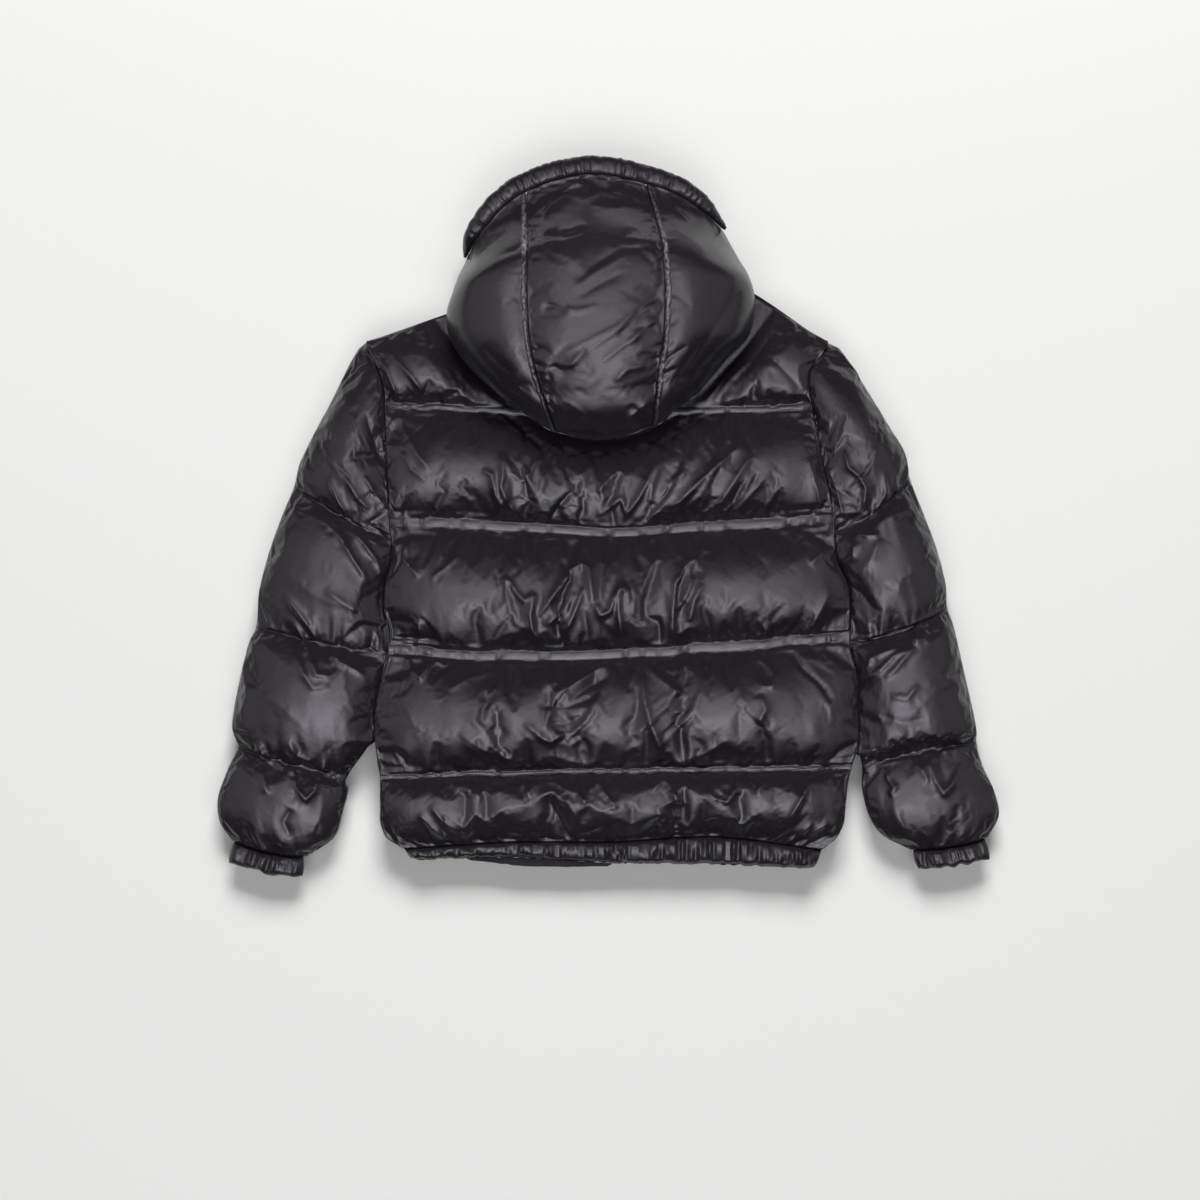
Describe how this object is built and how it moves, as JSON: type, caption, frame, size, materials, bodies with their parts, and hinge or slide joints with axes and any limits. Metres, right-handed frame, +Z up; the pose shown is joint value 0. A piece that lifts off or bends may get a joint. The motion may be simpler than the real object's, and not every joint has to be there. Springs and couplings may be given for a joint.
{
  "type": "puffer jacket",
  "caption": "Child's hooded quilted puffer jacket laid flat on its front, back up, with padded sleeves, elastic hem, cuffs and hood edge",
  "frame": {"origin": "centre of the bounding box on the plane the jacket lies on", "axes": "+Z up out of the back of the jacket, +Y toward the hood, +X toward the wearer's right sleeve, the jacket lying on its front"},
  "size_m": [0.784, 0.7209, 0.0991],
  "materials": {
    "black_nylon": "glossy calendered nylon over soft padding, black with a faint warm purple cast",
    "black_facing": "matte black woven facing",
    "black_zip": "black moulded zip"
  },
  "bodies": {
    "root": {"back": "black_nylon", "front_left": "black_nylon", "front_right": "black_nylon", "zip_chain": "black_zip", "zip_slider": "black_zip", "hem_back": "black_nylon", "hem_front_left": "black_nylon", "hem_front_right": "black_nylon", "hem_facing": "black_facing", "sleeve_left": "black_nylon", "sleeve_right": "black_nylon", "cuff_left": "black_nylon", "cuff_right": "black_nylon", "hood_centre": "black_nylon", "hood_side_left": "black_nylon", "hood_side_right": "black_nylon", "hood_casing": "black_nylon", "hood_under": "black_nylon"}
  },
  "joints": []
}
